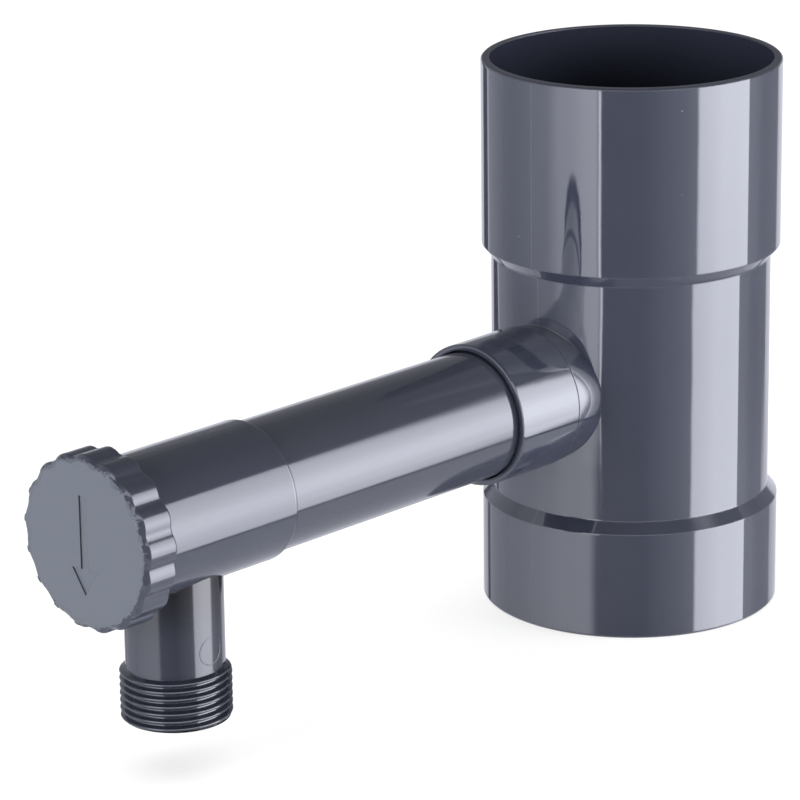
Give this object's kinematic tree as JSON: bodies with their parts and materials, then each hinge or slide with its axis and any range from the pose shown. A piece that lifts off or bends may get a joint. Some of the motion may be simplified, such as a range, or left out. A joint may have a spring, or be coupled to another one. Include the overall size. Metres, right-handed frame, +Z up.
{
  "type": "rainwater diverter",
  "caption": "Downpipe fitting with sockets at both ends and a side arm, whose turning knob lets collected rainwater out through a threaded hose outlet.",
  "frame": {"origin": "centre of the lower socket's mouth, on the body's axis", "axes": "+Z up the body's axis to the upper socket, -Y along the arm towards the knob, +X to the right when looking at the knob's face"},
  "size_m": [0.0962, 0.2876, 0.1795],
  "materials": {
    "glossy_moulding": "polished graphite grey moulding",
    "satin_pipe": "satin graphite grey extrusion",
    "knob_moulding": "graphite grey moulding with a fine matt face and glossy flutes",
    "seal_rubber": "greased black rubber"
  },
  "bodies": {
    "diverter": {"diverter_body": "glossy_moulding", "catch_ring": "glossy_moulding", "arm_pipe": "satin_pipe", "valve_housing": "glossy_moulding"},
    "knob": {"valve_knob": "knob_moulding", "plug_seal_front": "seal_rubber", "plug_seal_rear": "seal_rubber"}
  },
  "joints": [
    {"name": "knob_turn", "type": "hinge", "parent": "diverter", "child": "knob", "pos_m": [0, -0.20535, 0.0779], "axis": [0, -1, 0], "continuous": true}
  ]
}
